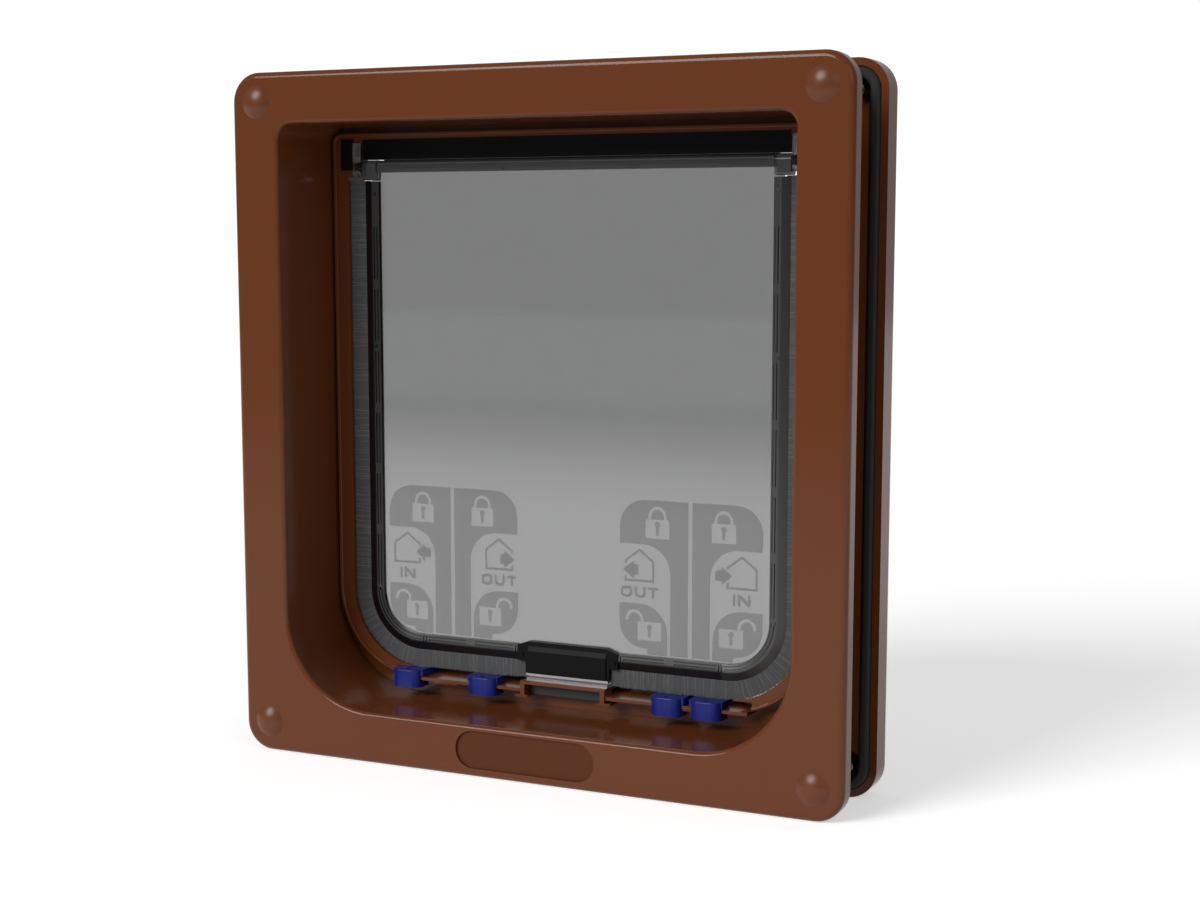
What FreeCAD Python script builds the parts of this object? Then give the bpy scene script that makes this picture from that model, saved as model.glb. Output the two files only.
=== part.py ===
import FreeCAD, Part
import math
import os
import Sketcher

# Cat flap in its own frame: X to the right, Y into the door from the room side, Z up.
# All depths are measured from the front face of the inside frame, all heights from its foot.
SIZES = {
    "windowHalf": 66.2, "windowTall": 145.8, "windowCorner": 13.5,
    "trimWide": 5.0, "brushWide": 5.4, "flapPlay": 0.4,
    "ringWide": 5.2, "ringFoot": 3.5, "ringAbove": 9.2, "ringTopWide": 3.0, "ringCornerHigh": 1.0,
    "lipProud": 0.7, "lipWide": 1.2, "lipRound": 0.35, "lipCornerHigh": 3.0, "lipCornerGrow": 4.2,
    "slotSide": 1.4, "slotFoot": 5.3, "slotTop": 1.7, "slotDepth": 4.0, "slotPlay": 0.3,
    "openingCornerHigh": 4.5, "openingCornerGrow": 0.5, "openingRound": 1.3, "linerWall": 1.8, "linerPlay": 0.4,
    "flangeSide": 16.4, "flangeFoot": 16.0, "flangeTop": 15.7, "flangeCorner": 9.0,
    "frontThick": 5.8, "frontSkin": 2.6, "rimWall": 2.2, "frontRound": 2.0,
    "ribThick": 1.2, "ribPitch": 38.0, "ribPlay": 0.6, "ribRoot": 0.3,
    "doorGap": 23.2, "rearThick": 9.7, "rearRound": 2.5,
    "screwInset": 9.0, "screwFoot": 9.4,
    "screwRadius": 1.75, "neckRadius": 2.0, "threadRadius": 1.95, "threadLong": 7.0, "shankPlay": 0.5,
    "headRadius": 3.4, "headHigh": 2.0, "headGap": 1.6, "seatPlay": 0.6, "bossWall": 2.0, "holePlay": 0.2,
    "capRadius": 5.0, "capHigh": 1.7, "capPlug": 1.2,
    "recessHalf": 23.2, "recessMiddle": 8.5, "recessRadius": 5.8, "recessDepth": 0.8,
    "grooveInset": 2.2, "grooveWide": 3.4, "grooveDepth": 2.0,
    "gasketProud": 0.9, "gasketPlay": 0.15, "gasketRound": 1.2,
    "hollowWall": 1.2, "rearSkin": 2.5, "collarWall": 1.8, "postRadius": 4.7, "postPlay": 0.5,
    "flapInset": 1.7, "panelThick": 1.8, "panelGrip": 2.6, "gripPlay": 0.05,
    "trimHalfDepth": 1.7, "trimBevel": 0.5, "trimRidge": 2.3, "trimRidgeRound": 1.2, "trimDrop": 1.0,
    "trimLow": 2.8, "trimRun": 1.5, "trimJoint": 0.1,
    "slitWide": 0.35, "slitInset": 0.5, "slitApart": 0.95, "slitPitch": 19.5, "slitGap": 1.6, "slitMargin": 1.6,
    "slitDepth": 0.6, "slitCross": 1.9, "slitEnd": 0.9, "pipRadius": 0.55, "pipHigh": 0.75, "pipRoot": 0.2, "pipInset": 3.7, "pipAcross": 1.5,
    "brushGrip": 1.4, "brushThick": 1.2, "brushLow": 2.5,
    "hingeAbove": 1.8, "barReach": 1.9, "barOver": 0.1, "barPlay": 0.3, "barRound": 1.25,
    "barLineHigh": 1.2, "barLineWide": 0.25, "barLineDepth": 0.2, "barLineInset": 2.0,
    "nubAcross": 22.6, "nubHalf": 1.1, "nubProud": 0.25, "nubHigh": 1.0,
    "earThick": 4.9, "earRadius": 2.0, "earDrop": 4.2, "pinRadius": 1.4, "pinPlay": 0.05, "pinCover": 1.0,
    "pinEndPlay": 0.3,
    "clipPlay": 0.4, "clipWide": 3.2, "clipHalfDepth": 2.2, "clipDrop": 3.3,
    "plateOver": 2.2, "plateRise": 1.2, "lugInset": 0.1, "lugRoot": 0.5, "lugDrop": 3.4,
    "clipSlotInset": 1.0, "clipSlotWide": 1.2, "clipSlotDepth": 1.2, "clipSlotHigh": 3.6, "clipSlotAbove": 3.2,
    "eyeHalf": 1.9, "eyeDepth": 0.8, "clipWallPlay": 0.1,
    "stripPlay": 0.25, "stripThick": 3.0, "stripBack": 2.2, "stripEndPlay": 0.5, "stripLipProud": 1.0,
    "stripLipLow": 0.6, "stripLipHigh": 1.0,
    "sealInset": 0.4, "sealThick": 0.8, "sealDrop": 0.5, "sealHigh": 1.5,
    "holderHalf": 14.4, "holderRise": 1.2, "holderTopHalf": 13.4,
    "holderHalfDepth": 2.3, "holderBevelHigh": 3.0, "holderBevelDepth": 0.9,
    "shoulderHalf": 17.3, "shoulderDrop": 0.2, "shoulderProud": 0.15,
    "studAcross": 15.9, "studDrop": 3.2, "studRadius": 0.8, "studProud": 0.4,
    "magnetHalf": 14.1, "magnetHalfDepth": 2.1, "magnetThick": 0.75, "magnetPlay": 0.55,
    "railProud": 3.3, "railDeep": 12.8, "railWall": 1.4, "railEndPlay": 0.6, "railPlay": 0.2,
    "ledgeRise": 1.2, "ledgeThick": 1.0, "railRise": 2.2,
    "pairGap": 6.4, "railSlotHalf": 14.4, "tabHalf": 4.3, "tabInset": 0.4, "tabDeep": 1.4, "tabHigh": 0.6,
    "bracketHalf": 14.5, "bracketWall": 1.5, "bracketProud": 0.5, "bracketHigh": 2.4, "bracketPlate": 0.9,
    "postDeep": 5.3, "footDrop": 1.6, "footThick": 0.7, "footOffset": 1.2, "footHalf": 2.2,
    "blockInset": 3.1, "blockDeep": 4.1, "blockDrop": 1.2,
    "strikeInset": 2.9, "strikeHalf": 13.9, "strikeDeep": 5.8, "strikeThick": 0.6,
    "knobHalf": 5.1, "knobProud": 2.1, "knobDeep": 6.2, "knobTopDeep": 7.8, "knobUnder": 2.3, "knobOver": 2.3,
    "knobCorner": 3.0, "knobRound": 0.4, "knobPlay": 0.3, "knobWall": 1.8,
    "knobMarkIn": 0.9, "knobMarkLong": 1.9, "knobMarkHalf": 1.1, "knobMarkDepth": 0.35,
    "stemWide": 6.0, "stemOver": 0.4, "stemShort": 0.7,
    "lockedOffset": 6.45, "slideTravel": 7.25,
}
SLITS = 6

doc = FreeCAD.newDocument("CatFlap")
sheet = doc.addObject("Spreadsheet::Sheet", "Sizes")
for row, (name, value) in enumerate(SIZES.items(), 1):
    sheet.set("A%d" % row, name)
    sheet.set("B%d" % row, str(value))
    sheet.setAlias("B%d" % row, name)
doc.recompute()


class Length:
    # A length as the sheet's formula and its present value.
    def __init__(self, text, value):
        self.text = text
        self.value = value

    def __add__(self, other):
        other = length(other)
        return Length("(%s + %s)" % (self.text, other.text), self.value + other.value)

    def __sub__(self, other):
        other = length(other)
        return Length("(%s - %s)" % (self.text, other.text), self.value - other.value)

    def __mul__(self, other):
        other = length(other)
        return Length("(%s * %s)" % (self.text, other.text), self.value * other.value)

    def __truediv__(self, other):
        other = length(other)
        return Length("(%s / %s)" % (self.text, other.text), self.value / other.value)

    def __neg__(self):
        return Length("(-%s)" % self.text, -self.value)


def length(item):
    if isinstance(item, Length):
        return item
    if isinstance(item, str):
        return Length("Sizes." + item, SIZES[item])
    return Length(str(item), float(item))


# Depths behind the front face of the inside frame.
rearStart = length("frontThick") + "doorGap"
rearEnd = rearStart + "rearThick"
frontReach = (rearEnd - "capHigh") * 0.5
lipFront = rearStart - "lipProud"
linerEnd = rearStart + "slotDepth" - "linerPlay"
seatDepth = length("headGap") + "headHigh"
flapDepth = rearStart + "flapInset"
trimFront = flapDepth - "trimHalfDepth"
clipFront = flapDepth - "clipHalfDepth"
stripBack = flapDepth + "stripBack"
stripFront = stripBack - "stripThick"
railFront = rearStart - "railProud"
railEnd = railFront + "railDeep"
bracketFront = railFront - "bracketProud"
blockFront = railFront + "blockInset"
blockBack = blockFront + "blockDeep"
strikeFront = railFront + "strikeInset"
knobFront = railFront - "knobProud"

# Heights above the foot of the frames.
openingLow = length("flangeFoot")
lipLow = openingLow + "slotFoot"
ringLow = lipLow + "ringFoot"
edgeOffset = length("trimWide") + "brushWide" + "flapPlay"
windowLow = ringLow + edgeOffset
windowHigh = windowLow + "windowTall"
hingeHigh = windowHigh + "hingeAbove"
barTop = hingeHigh + "barReach"
panelTop = windowHigh + "panelGrip"
trimTop = windowHigh - "trimLow"
cornerTop = windowLow + "windowCorner"
ringHigh = windowHigh + "ringAbove"
lipHigh = ringHigh + "ringTopWide"
openingHigh = lipHigh + "slotTop"
flangeHigh = openingHigh + "flangeTop"
ledgeTop = lipLow + "ledgeRise"
ledgeLow = ledgeTop - "ledgeThick"
railTop = ledgeTop + "railRise"
tabLow = ledgeLow - "tabHigh"
footLow = ledgeLow - "footDrop"
blockLow = ledgeLow - "blockDrop"
bracketTop = ledgeTop + "bracketHigh"
plateLow = bracketTop - "bracketPlate"
strikeTop = bracketTop + "strikeThick"
magnetLow = strikeTop + "magnetPlay"
holderLow = magnetLow + "magnetThick"
holderTop = windowLow + "holderRise"
trimFoot = windowLow - "trimWide"

# Distances from the middle.
ringHalf = length("windowHalf") + edgeOffset
lipHalf = ringHalf + "ringWide"
openingHalf = lipHalf + "slotSide"
flangeHalf = openingHalf + "flangeSide"
ringCorner = length("windowCorner") + edgeOffset
lipCorner = ringCorner + "lipCornerGrow"
openingCorner = lipCorner + "openingCornerGrow"
barHalf = length("windowHalf") + "barOver"
earStart = barHalf + "barPlay"
earEnd = earStart + "earThick"
clipStart = earEnd + "clipPlay"
clipEnd = clipStart + "clipWide"
pinEnd = clipEnd - "pinCover"
stripHalf = clipStart - "stripEndPlay"
splitAcross = length("windowHalf") - "windowCorner" - "trimRun"
postHalf = length("bracketHalf") - "bracketWall"
footOuter = postHalf + "footOffset" + "footHalf"
openOffset = length("lockedOffset") + "slideTravel"
pairCentre = footOuter + "pairGap" + "knobHalf" + openOffset
railHalf = pairCentre + openOffset + "knobHalf" + "railEndPlay"


def deep(item):
    # Y of a depth behind the front face.
    return length(item) - frontReach


def newBody(label):
    body = doc.addObject("PartDesign::Body", label)
    body.Label = label
    return body


def sketchOn(body, plane, name, shift=(0, 0, 0)):
    sketch = body.newObject("Sketcher::SketchObject", name)
    support = [item for item in body.Origin.OriginFeatures if item.Role == plane][0]
    sketch.AttachmentSupport = [(support, "")]
    sketch.MapMode = "FlatFace"
    for axis, item in zip("xyz", shift):
        sketch.setExpression("AttachmentOffset.Base." + axis, length(item).text)
    return sketch


def frontSketch(body, name, depth):
    # Upright sketch seen from the room, at a depth: x is X and y is Z.
    return sketchOn(body, "XZ_Plane", name, (0, 0, -deep(depth)))


def sideSketch(body, name, across=0, depth=0):
    # Upright sketch seen from the side: x is the depth behind the given one and y is Z.
    return sketchOn(body, "YZ_Plane", name, (deep(depth), 0, across))


def planSketch(body, name, height, depth=0):
    # Level sketch at a height: x is X and y is the depth behind the given one.
    return sketchOn(body, "XY_Plane", name, (0, deep(depth), height))


def pin(sketch, geometry, point, x, y):
    # Ties one point to the sketch's origin across and up.
    for kind, item, axis in (("DistanceX", length(x), -2), ("DistanceY", length(y), -1)):
        if item.value == 0:
            sketch.addConstraint(Sketcher.Constraint("PointOnObject", geometry, point, axis))
            continue
        if item.value > 0:
            number = sketch.addConstraint(Sketcher.Constraint(kind, -1, 1, geometry, point, item.value))
            sketch.setExpression("Constraints[%d]" % number, item.text)
        else:
            number = sketch.addConstraint(Sketcher.Constraint(kind, geometry, point, -1, 1, -item.value))
            sketch.setExpression("Constraints[%d]" % number, (-item).text)


def cornerArc(before, here, after, radius):
    # Round corner: its touching points and its circle.
    toBefore = (before - here).normalize()
    toAfter = (after - here).normalize()
    half = toBefore.getAngle(toAfter) / 2
    reach = radius / math.tan(half)
    start = here + toBefore * reach
    end = here + toAfter * reach
    middle = here + (toBefore + toAfter).normalize() * (radius / math.sin(half))
    turn = (here - before).cross(after - here).z
    return start, end, middle, turn > 0


def outline(sketch, corners, closed=True):
    # Straight runs joined by round corners. Each corner is (x, y) or (x, y, radius).
    spots = [(length(c[0]), length(c[1]), length(c[2]) if len(c) > 2 else None) for c in corners]
    points = [FreeCAD.Vector(x.value, y.value, 0) for x, y, r in spots]
    count = len(points)
    rounded = {}
    for i, (x, y, radius) in enumerate(spots):
        if radius is not None:
            rounded[i] = cornerArc(points[i - 1], points[i], points[(i + 1) % count], radius.value)
    lines = []
    for i in range(count if closed else count - 1):
        j = (i + 1) % count
        start = rounded[i][1] if i in rounded else points[i]
        end = rounded[j][0] if j in rounded else points[j]
        lines.append(sketch.addGeometry(Part.LineSegment(start, end), False))
    for i, (x, y, radius) in enumerate(spots):
        before = lines[i - 1] if closed or i > 0 else None
        after = lines[i] if closed or i < count - 1 else None
        if radius is None:
            sharpCorner(sketch, before, after, x, y)
        else:
            roundCorner(sketch, before, after, x, y, radius, rounded[i])


def sharpCorner(sketch, before, after, x, y):
    if before is not None and after is not None:
        sketch.addConstraint(Sketcher.Constraint("Coincident", before, 2, after, 1))
    if after is not None:
        pin(sketch, after, 1, x, y)
    else:
        pin(sketch, before, 2, x, y)


def roundCorner(sketch, before, after, x, y, radius, found):
    # Arc tangent to both runs, whose meeting point is the pinned one.
    start, end, middle, left = found
    first, last = (start, end) if left else (end, start)
    angles = [math.atan2(spot.y - middle.y, spot.x - middle.x) for spot in (first, last)]
    ring = Part.Circle(middle, FreeCAD.Vector(0, 0, 1), radius.value)
    arc = sketch.addGeometry(Part.ArcOfCircle(ring, angles[0], angles[1]), False)
    spot = FreeCAD.Vector(x.value, y.value, 0)
    mark = sketch.addGeometry(Part.Point(spot), True)
    pin(sketch, mark, 1, x, y)
    sketch.addConstraint(Sketcher.Constraint("PointOnObject", mark, 1, before))
    sketch.addConstraint(Sketcher.Constraint("PointOnObject", mark, 1, after))
    sketch.addConstraint(Sketcher.Constraint("Tangent", before, 2, arc, 1 if left else 2))
    sketch.addConstraint(Sketcher.Constraint("Tangent", after, 1, arc, 2 if left else 1))
    number = sketch.addConstraint(Sketcher.Constraint("Radius", arc, radius.value))
    sketch.setExpression("Constraints[%d]" % number, radius.text)


def circle(sketch, x, y, radius):
    radius = length(radius)
    centre = FreeCAD.Vector(length(x).value, length(y).value, 0)
    number = sketch.addGeometry(Part.Circle(centre, FreeCAD.Vector(0, 0, 1), radius.value), False)
    pin(sketch, number, 3, x, y)
    dimension = sketch.addConstraint(Sketcher.Constraint("Radius", number, radius.value))
    sketch.setExpression("Constraints[%d]" % dimension, radius.text)


def frameOutline(sketch, half, low, high, cornerLow, cornerHigh, offset=0):
    # Upright rectangle with round corners, grown by the offset on every side.
    half = length(half) + offset
    low = length(low) - offset
    high = length(high) + offset
    cornerLow = length(cornerLow) + offset
    cornerHigh = length(cornerHigh) + offset
    outline(sketch, [(-half, low, cornerLow), (half, low, cornerLow),
                     (half, high, cornerHigh), (-half, high, cornerHigh)])


def box(sketch, left, right, low, high):
    outline(sketch, [(left, low), (right, low), (right, high), (left, high)])


def sideBox(sketch, near, far, low, high, side):
    # Rectangle between two distances from the middle, on one side of it.
    near = length(near) * side
    far = length(far) * side
    left, right = (near, far) if side > 0 else (far, near)
    box(sketch, left, right, low, high)


def flangeOutline(sketch, inset=0):
    frameOutline(sketch, flangeHalf, 0, flangeHigh, "flangeCorner", "flangeCorner", -length(inset))


def openingOutline(sketch, offset=0):
    frameOutline(sketch, openingHalf, openingLow, openingHigh, openingCorner, "openingCornerHigh", offset)


def lipOutline(sketch, offset=0):
    frameOutline(sketch, lipHalf, lipLow, lipHigh, lipCorner, "lipCornerHigh", offset)


def ringOutline(sketch):
    frameOutline(sketch, ringHalf, ringLow, ringHigh, ringCorner, "ringCornerHigh")


def screwPlaces():
    half = flangeHalf - "screwInset"
    high = flangeHigh - "screwInset"
    return [(-half, length("screwFoot")), (half, length("screwFoot")), (half, high), (-half, high)]


def pad(body, sketch, distance, forward=False, both=False):
    feature = body.newObject("PartDesign::Pad", "Pad")
    feature.Profile = sketch
    feature.setExpression("Length", length(distance).text)
    if both:
        feature.SideType = "Symmetric"
    feature.Reversed = not forward
    return feature


def pocket(body, sketch, distance, backward=False):
    feature = body.newObject("PartDesign::Pocket", "Pocket")
    feature.Profile = sketch
    feature.setExpression("Length", length(distance).text)
    feature.Reversed = backward
    return feature


def edgesOf(feature, wanted):
    doc.recompute()
    return ["Edge%d" % i for i, edge in enumerate(feature.Shape.Edges, 1) if wanted(edge)]


def middleOf(edge):
    first, last = edge.ParameterRange
    return edge.valueAt((first + last) / 2)


def atDepth(edge, depth):
    y = deep(depth).value
    return abs(edge.BoundBox.YMin - y) < 1e-4 and abs(edge.BoundBox.YMax - y) < 1e-4


def fillet(body, feature, wanted, radius):
    result = body.newObject("PartDesign::Fillet", "Fillet")
    result.Base = (feature, edgesOf(feature, wanted))
    result.setExpression("Radius", length(radius).text)
    return result


def onFlange(edge):
    # True on the outer outline of a flange: past the hole pattern, at or near the outline.
    spot = middleOf(edge)
    corner = SIZES["flangeCorner"]
    across = flangeHalf.value - abs(spot.x)
    up = min(spot.z, flangeHigh.value - spot.z)
    inCorner = math.hypot(max(corner - across, 0), max(corner - up, 0))
    return min(across, up) < 0.01 or (across < corner and up < corner and inCorner > corner - 0.01)


def inOpening(edge):
    # True on the outline of the opening through the inside frame.
    spot = middleOf(edge)
    return (abs(spot.x) < openingHalf.value + 0.01
            and openingLow.value - 0.01 < spot.z < openingHigh.value + 0.01)


def ribs(body, start, distance, inset, offset):
    # Webs across a hollow flange, three on each side of the opening.
    sketch = frontSketch(body, "RibOutlines", start)
    half = length("ribThick") * 0.5
    outer = length(inset) - "ribRoot"
    inner = length(offset) - "ribRoot"
    for step in (-1, 0, 1):
        across = length("ribPitch") * step
        box(sketch, across - half, across + half, outer, openingLow - inner)
        box(sketch, across - half, across + half, openingHigh + inner, flangeHigh - outer)
        high = flangeHigh * 0.5 + across
        for side in (-1, 1):
            sideBox(sketch, openingHalf + inner, flangeHalf - outer, high - half, high + half, side)
    return pad(body, sketch, distance)


# Inside frame: flange with the tunnel liner behind it.
def frontFrame():
    body = newBody("front_frame")
    sketch = frontSketch(body, "FlangeOutline", 0)
    flangeOutline(sketch)
    openingOutline(sketch)
    pad(body, sketch, "frontThick")
    sketch = frontSketch(body, "LinerOutline", "frontSkin")
    openingOutline(sketch, "linerWall")
    openingOutline(sketch)
    pad(body, sketch, linerEnd - "frontSkin")
    sketch = frontSketch(body, "HollowOutline", "frontSkin")
    flangeOutline(sketch, "rimWall")
    openingOutline(sketch, "linerWall")
    seat = length("headRadius") + "seatPlay"
    for x, z in screwPlaces():
        circle(sketch, x, z, seat + "bossWall")
    pocket(body, sketch, length("frontThick") - "frontSkin")
    deepness = length("frontThick") - "frontSkin" - "ribPlay" + "ribRoot"
    ribs(body, length("frontSkin") - "ribRoot", deepness, "rimWall", "linerWall")
    sketch = frontSketch(body, "SeatCircles", 0)
    for x, z in screwPlaces():
        circle(sketch, x, z, seat)
    pocket(body, sketch, seatDepth)
    sketch = frontSketch(body, "HoleCircles", seatDepth)
    for x, z in screwPlaces():
        circle(sketch, x, z, length("neckRadius") + "holePlay")
    pocket(body, sketch, "frontThick")
    sketch = frontSketch(body, "RecessOutline", 0)
    low = length("recessMiddle") - "recessRadius"
    high = length("recessMiddle") + "recessRadius"
    radius = length("recessRadius") * 0.98
    frameOutline(sketch, "recessHalf", low, high, radius, radius)
    last = pocket(body, sketch, "recessDepth")
    last = fillet(body, last, lambda edge: atDepth(edge, 0) and onFlange(edge), "frontRound")
    fillet(body, last, lambda edge: atDepth(edge, 0) and inOpening(edge), "openingRound")


# Outside frame: flange, gasket groove, collar, screw posts and the ring round the flap.
def rearFrame():
    body = newBody("rear_frame")
    sketch = frontSketch(body, "FlangeOutline", rearStart)
    flangeOutline(sketch)
    ringOutline(sketch)
    pad(body, sketch, "rearThick")
    rearHollows(body)
    sketch = frontSketch(body, "LipOutline", lipFront)
    lipOutline(sketch)
    lipOutline(sketch, -length("lipWide"))
    last = pad(body, sketch, length("lipProud") + "lipWide")
    fillet(body, last, lambda edge: atDepth(edge, lipFront), "lipRound")
    sketch = frontSketch(body, "RailNotch", lipFront - 1)
    half = railHalf + "railPlay"
    box(sketch, -half, half, ledgeLow - "railPlay", railTop + "railPlay")
    pocket(body, sketch, length("rearThick") + "lipProud" + 2)
    sketch = frontSketch(body, "ClipLugs", rearStart)
    for side in (-1, 1):
        sideBox(sketch, clipEnd + "lugInset", ringHalf + "lugRoot", hingeHigh - "lugDrop", ringHigh + "lugRoot", side)
    pad(body, sketch, flapDepth - rearStart + "clipHalfDepth")
    sketch = frontSketch(body, "StripSeat", rearStart)
    half = stripHalf + "clipWallPlay"
    box(sketch, -half, half, ringHigh - 1, ringHigh + "stripLipHigh")
    last = pocket(body, sketch, stripFront - rearStart + "clipWallPlay")
    fillet(body, last, lambda edge: atDepth(edge, rearEnd) and onFlange(edge), "rearRound")


def rearHollows(body):
    # Gasket groove, hollow with its ribs, slot for the liner and the holes of the posts.
    sketch = frontSketch(body, "GrooveOutline", rearStart)
    flangeOutline(sketch, "grooveInset")
    groove = length("grooveInset") + "grooveWide"
    flangeOutline(sketch, groove)
    pocket(body, sketch, "grooveDepth")
    sketch = frontSketch(body, "HollowOutline", rearStart)
    flangeOutline(sketch, groove + "hollowWall")
    slot = length("linerWall") + "slotPlay"
    openingOutline(sketch, slot + "collarWall")
    for x, z in screwPlaces():
        circle(sketch, x, z, "postRadius")
    hollow = length("rearThick") - "rearSkin"
    pocket(body, sketch, hollow)
    ribs(body, rearStart + "ribPlay", hollow - "ribPlay" + "ribRoot", groove + "hollowWall", slot + "collarWall")
    sketch = frontSketch(body, "LinerSlotOutline", rearStart)
    openingOutline(sketch, slot)
    lipOutline(sketch)
    pocket(body, sketch, "slotDepth")
    sketch = frontSketch(body, "PostHoles", rearStart)
    for x, z in screwPlaces():
        circle(sketch, x, z, "threadRadius")
    pocket(body, sketch, length("threadLong") + "postPlay")


# Sill under the flap: ledge, slotted back wall and the bracket over the magnet.
def lockRail():
    body = newBody("lock_rail")
    sketch = sideSketch(body, "RailProfile")
    wall = railEnd - "railWall"
    outline(sketch, [(railFront, ledgeLow), (railEnd, ledgeLow), (railEnd, railTop), (wall, railTop),
                     (wall, ledgeTop), (railFront, ledgeTop)])
    pad(body, sketch, railHalf * 2, both=True)
    sketch = frontSketch(body, "MagnetGap", railFront - 1)
    box(sketch, -postHalf, postHalf, ledgeLow - 1, ledgeTop + 1)
    pocket(body, sketch, blockBack - railFront + "railPlay" + 1)
    sketch = frontSketch(body, "BracketOutline", bracketFront)
    foot = footLow + "footThick"
    inner = footOuter - length("footHalf") * 2
    right = [(postHalf, plateLow), (postHalf, foot), (inner, foot), (inner, footLow), (footOuter, footLow),
             (footOuter, foot), ("bracketHalf", foot), ("bracketHalf", bracketTop)]
    left = [(-length(x), z) for x, z in reversed(right)]
    outline(sketch, right + left)
    pad(body, sketch, "postDeep")
    sketch = frontSketch(body, "PlateOutline", bracketFront)
    box(sketch, -length("bracketHalf"), "bracketHalf", plateLow, bracketTop)
    pad(body, sketch, railEnd - bracketFront)
    sketch = frontSketch(body, "BlockSeat", blockFront - "railPlay")
    box(sketch, -postHalf, postHalf, blockLow - "railPlay", plateLow)
    pocket(body, sketch, length("blockDeep") + length("railPlay") * 2)
    sketch = frontSketch(body, "TabOutline", railFront + "tabInset")
    for side in (-1, 1):
        sideBox(sketch, pairCentre - "tabHalf", pairCentre + "tabHalf", tabLow, ledgeLow, side)
    pad(body, sketch, "tabDeep")
    sketch = frontSketch(body, "StemSlots", wall - 1)
    for side in (-1, 1):
        sideBox(sketch, pairCentre - "railSlotHalf", pairCentre + "railSlotHalf", ledgeTop, railTop + 1, side)
    pocket(body, sketch, length("railWall") + 2)


def doorGasket():
    body = newBody("door_gasket")
    sketch = frontSketch(body, "GasketOutline", rearStart - "gasketProud")
    flangeOutline(sketch, length("grooveInset") + "gasketPlay")
    flangeOutline(sketch, length("grooveInset") + "grooveWide" - "gasketPlay")
    last = pad(body, sketch, length("gasketProud") + "grooveDepth")
    fillet(body, last, lambda edge: atDepth(edge, rearStart - "gasketProud"), "gasketRound")


def place(body, x, z):
    body.setExpression("Placement.Base.x", length(x).text)
    body.setExpression("Placement.Base.z", length(z).text)


def revolve(body, sketch):
    # Full turn about the sketch's own x axis, which runs into the door.
    feature = body.newObject("PartDesign::Revolution", "Turn")
    feature.Profile = sketch
    feature.ReferenceAxis = (sketch, ["H_Axis"])
    feature.Angle = 360


def screwCap(label, x, z):
    body = newBody(label)
    sketch = sideSketch(body, "CapProfile")
    rim = length("capRadius")
    high = length("capHigh")
    # The dome is a slice of a ball, just short of its full arc at both ends.
    ball = (rim * rim / high + high) * 0.49
    turn = (high * high / rim + rim) * 0.5
    plug = length("headRadius") + "seatPlay"
    outline(sketch, [(-high, 0), (-high, turn, ball), (0, rim), (0, plug), ("capPlug", plug), ("capPlug", 0)])
    revolve(body, sketch)
    place(body, x, z)


def fixingScrew(label, x, z):
    body = newBody(label)
    sketch = sideSketch(body, "ScrewProfile")
    neck = length("frontThick") + "shankPlay"
    thread = rearStart - "shankPlay"
    end = rearStart + "threadLong"
    outline(sketch, [("headGap", 0), ("headGap", "headRadius"), (seatDepth, "headRadius"), (seatDepth, "neckRadius"),
                     (neck, "neckRadius"), (neck, "screwRadius"), (thread, "screwRadius"), (thread, "threadRadius"),
                     (end - "threadRadius", "threadRadius"), (end, 0)])
    revolve(body, sketch)
    place(body, x, z)


# Clear clip that holds a pivot of the flap: body with a slot and an eye, and a plate on the ring's face.
def hingeClip(label, side):
    body = newBody(label)
    start = clipStart * side
    sketch = sideSketch(body, "ClipProfile", start, flapDepth)
    half = length("clipHalfDepth")
    low = hingeHigh - "clipDrop"
    top = ringHigh - "clipWallPlay"
    outline(sketch, [(-half, low, half * 0.98), (half, low, half * 0.98), (half, top), (-half, top)])
    pad(body, sketch, "clipWide", forward=side > 0)
    sketch = frontSketch(body, "PlateOutline", clipFront)
    sideBox(sketch, clipEnd - "lugRoot", ringHalf + "plateOver", low + half, ringHigh + "plateRise", side)
    pad(body, sketch, rearStart - clipFront)
    sketch = sideSketch(body, "PinHole", start, flapDepth)
    circle(sketch, 0, hingeHigh, length("pinRadius") + "pinPlay")
    pocket(body, sketch, pinEnd - clipStart + "pinEndPlay", backward=side > 0)
    near = clipStart + "clipSlotInset"
    far = near + "clipSlotWide"
    sketch = frontSketch(body, "ClipSlot", clipFront)
    above = hingeHigh + "clipSlotAbove"
    sideBox(sketch, near, far, above, above + "clipSlotHigh", side)
    pocket(body, sketch, "clipSlotDepth")
    sketch = frontSketch(body, "ClipEye", clipFront)
    eye = length("eyeHalf")
    radius = length("clipSlotWide") * 0.49
    left, right = (near * side, far * side) if side > 0 else (far * side, near * side)
    outline(sketch, [(left, hingeHigh - eye, radius), (right, hingeHigh - eye, radius),
                     (right, hingeHigh + eye, radius), (left, hingeHigh + eye, radius)])
    pocket(body, sketch, "eyeDepth")


def draughtStrip():
    body = newBody("draught_strip")
    sketch = sideSketch(body, "StripProfile")
    lip = stripFront - "stripLipProud"
    low = barTop + "stripPlay"
    lipLow = ringHigh - "stripLipLow"
    lipTop = ringHigh + "stripLipHigh"
    outline(sketch, [(stripFront, low), (stripBack, low), (stripBack, ringHigh), (stripFront, ringHigh),
                     (stripFront, lipTop), (lip, lipTop), (lip, lipLow), (stripFront, lipLow)])
    pad(body, sketch, stripHalf * 2, both=True)
    # Lip behind the bar that closes the view over it.
    sketch = sideSketch(body, "SealProfile")
    near = stripBack + "sealInset"
    far = near + "sealThick"
    top = low + "sealHigh"
    outline(sketch, [(stripBack - "sealInset", low), (near, low), (near, low - "sealDrop"), (far, low - "sealDrop"),
                     (far, top), (stripBack - "sealInset", top)])
    pad(body, sketch, barHalf * 2, both=True)


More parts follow.
